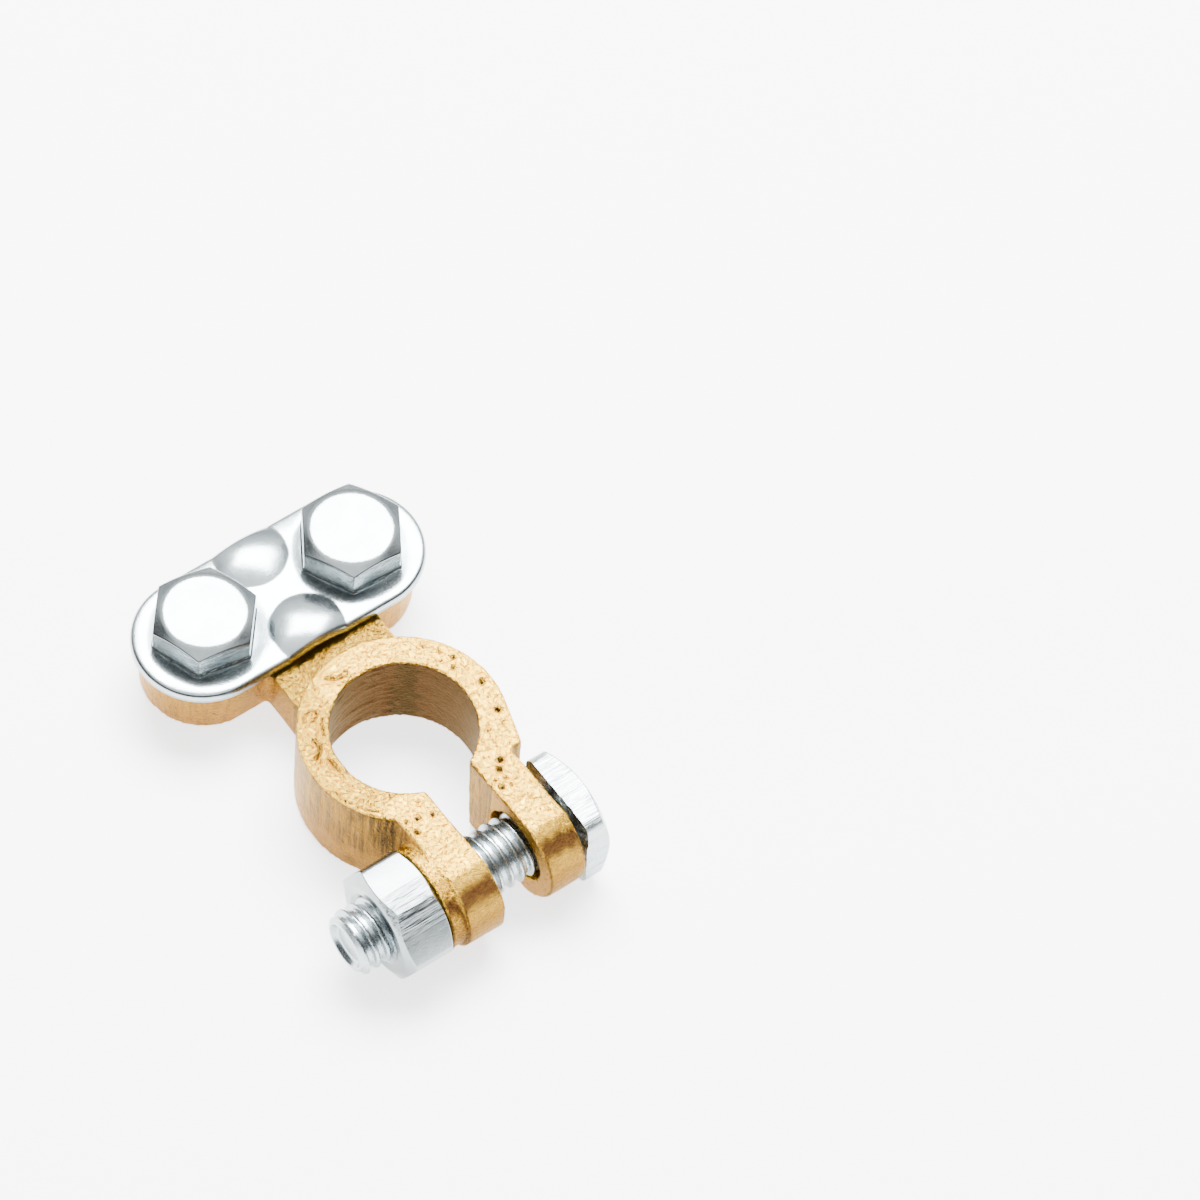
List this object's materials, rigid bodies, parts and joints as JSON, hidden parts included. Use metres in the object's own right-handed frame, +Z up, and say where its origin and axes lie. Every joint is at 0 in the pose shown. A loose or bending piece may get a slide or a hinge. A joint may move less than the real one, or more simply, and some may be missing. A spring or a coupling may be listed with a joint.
{
  "type": "battery terminal clamp",
  "caption": "Cast brass collar with a tapered bore and two lugs drawn together by a bolt, joined by a neck to a cable base under a pressed strap held by hexagon screws.",
  "frame": {"origin": "on the axis of the tapered post bore, at the collar's bottom face", "axes": "+Z up along the post, +Y from the post towards the cable strap, +X along the clamp bolt from its nut to its square head"},
  "size_m": [0.0379, 0.0571, 0.0137],
  "materials": {
    "cast_brass": "sand-textured casting, sawn and filed where it was cut",
    "zinc_plated_fasteners": "bright blue zinc plating",
    "zinc_plated_strap": "bright blue zinc plating on pressed sheet"
  },
  "bodies": {
    "casting": {"clamp_body": "cast_brass"},
    "nut": {"clamp_nut": "zinc_plated_fasteners"},
    "bolt": {"clamp_bolt": "zinc_plated_fasteners"},
    "strap": {"cable_strap": "zinc_plated_strap"},
    "screw_left": {"cable_screw_left": "zinc_plated_fasteners"},
    "screw_right": {"cable_screw_right": "zinc_plated_fasteners"}
  },
  "joints": [
    {"name": "nut_turn", "type": "hinge", "parent": "casting", "child": "nut", "pos_m": [-0.01215, -0.0166, 0.00645], "axis": [-1, 0, 0], "range_deg": [-160.5, 1595.5]},
    {"name": "bolt_slide", "type": "slide", "parent": "casting", "child": "bolt", "axis": [1, 0, 0], "range_m": [-0.00063, 0.00625]},
    {"name": "strap_lift", "type": "slide", "parent": "casting", "child": "strap", "axis": [0, 0, 1], "range_m": [0, 0.005]},
    {"name": "screw_left_turn", "type": "hinge", "parent": "strap", "child": "screw_left", "pos_m": [-0.01015, 0.025, 0.0093], "axis": [0, 0, 1], "range_deg": [0, 1801]},
    {"name": "screw_right_turn", "type": "hinge", "parent": "strap", "child": "screw_right", "pos_m": [0.01015, 0.025, 0.0093], "axis": [0, 0, 1], "range_deg": [0, 1801]}
  ],
  "couplings": [
    {"joint": "nut_turn", "follows": "bolt_slide", "rad_per_m": 4453},
    {"joint": "screw_left_turn", "follows": "strap_lift", "rad_per_m": 6283.2},
    {"joint": "screw_right_turn", "follows": "strap_lift", "rad_per_m": 6283.2}
  ]
}
